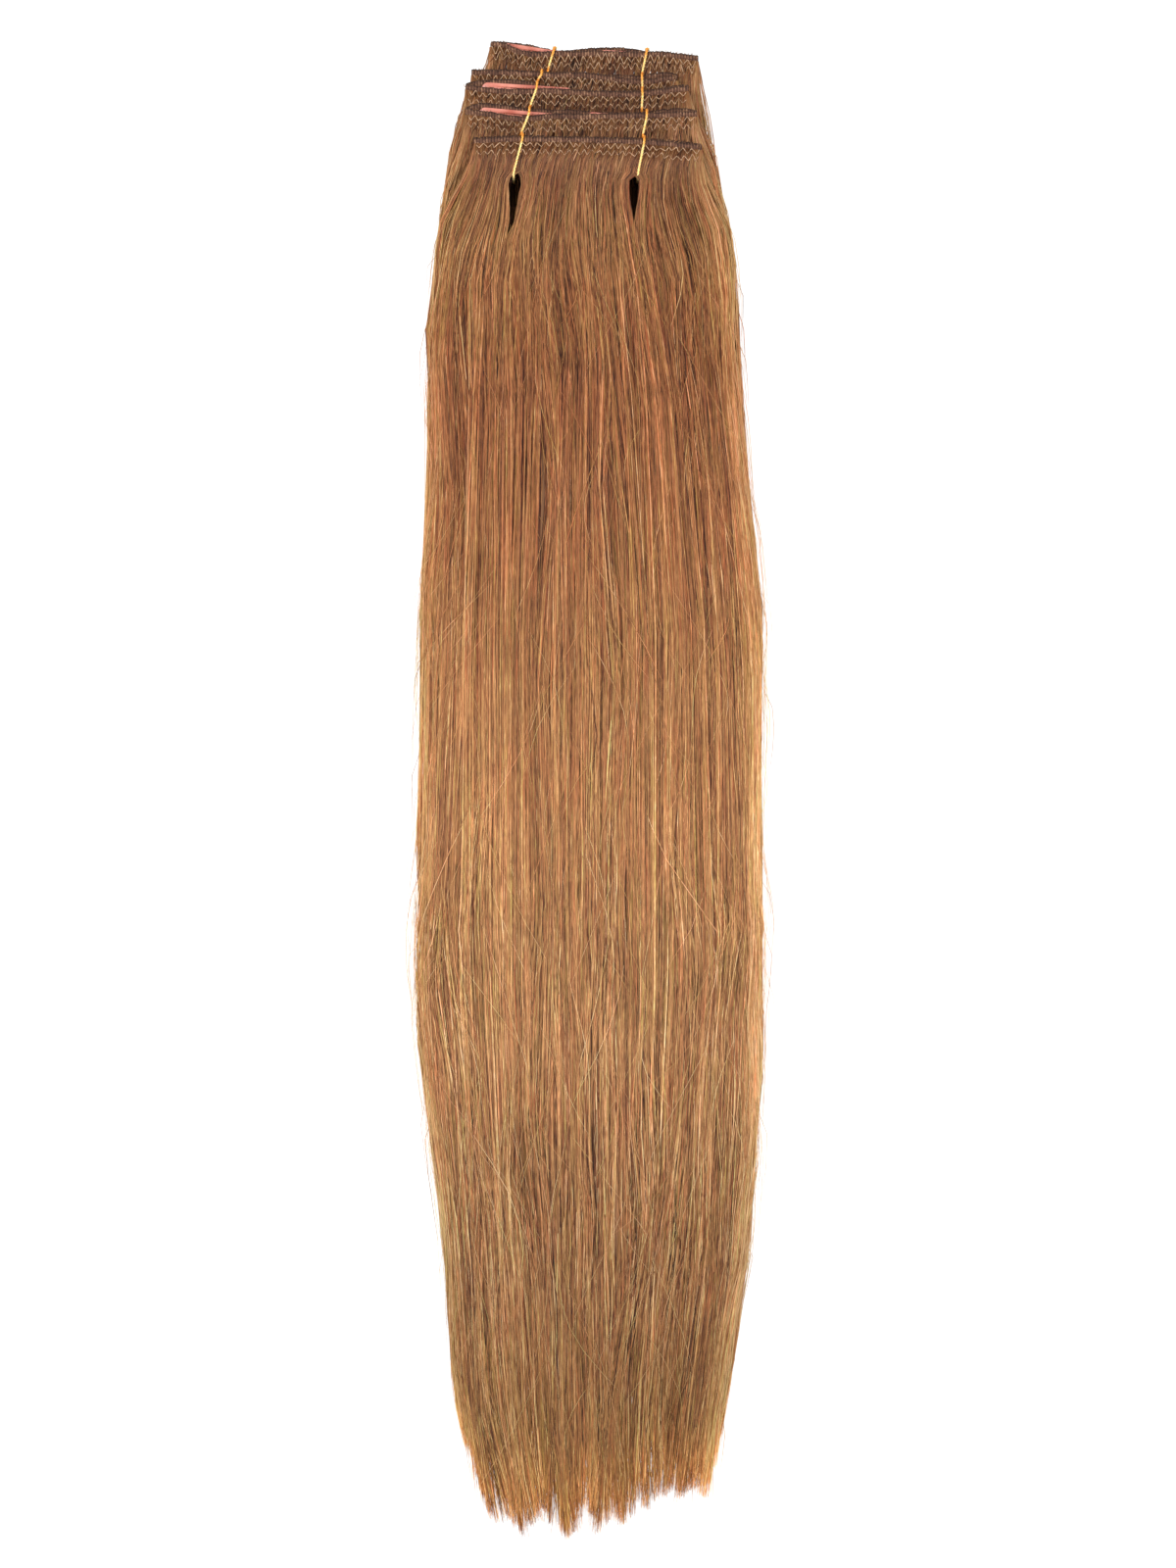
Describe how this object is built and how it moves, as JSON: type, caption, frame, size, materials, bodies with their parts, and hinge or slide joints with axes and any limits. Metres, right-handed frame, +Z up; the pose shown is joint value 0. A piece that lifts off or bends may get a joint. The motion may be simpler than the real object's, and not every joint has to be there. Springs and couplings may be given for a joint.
{
  "type": "clip in hair extension",
  "caption": "Straight brown hair extension: sewn wefts folded round snap clips, laid one on the next and tied in a flat bundle with gold thread.",
  "frame": {"origin": "on the surface the bundle lies on, under the middle of its footprint", "axes": "+Z up, +Y along the hair towards the seams, +X to the right as seen from above with the seams away from the viewer"},
  "size_m": [0.131, 0.5444, 0.0269],
  "materials": {
    "hair": "smooth straight hair, soft sheen",
    "seam": "ribbed machine-sewn weft",
    "clip": "peach enamel on spring steel",
    "thread": "twisted metallic gold thread"
  },
  "bodies": {
    "root": {"seam_1": "seam", "hair_1": "hair", "seam_2": "seam", "hair_2": "hair", "seam_3": "seam", "hair_3": "hair", "seam_4": "seam", "hair_4": "hair", "seam_5": "seam", "hair_5": "hair", "clip_1_left": "clip", "clip_1_right": "clip", "clip_2_left": "clip", "clip_2_right": "clip", "clip_3_left": "clip", "clip_3_right": "clip", "clip_4_left": "clip", "clip_4_right": "clip", "clip_5_left": "clip", "clip_5_right": "clip", "thread_left": "thread", "thread_right": "thread"}
  },
  "joints": []
}
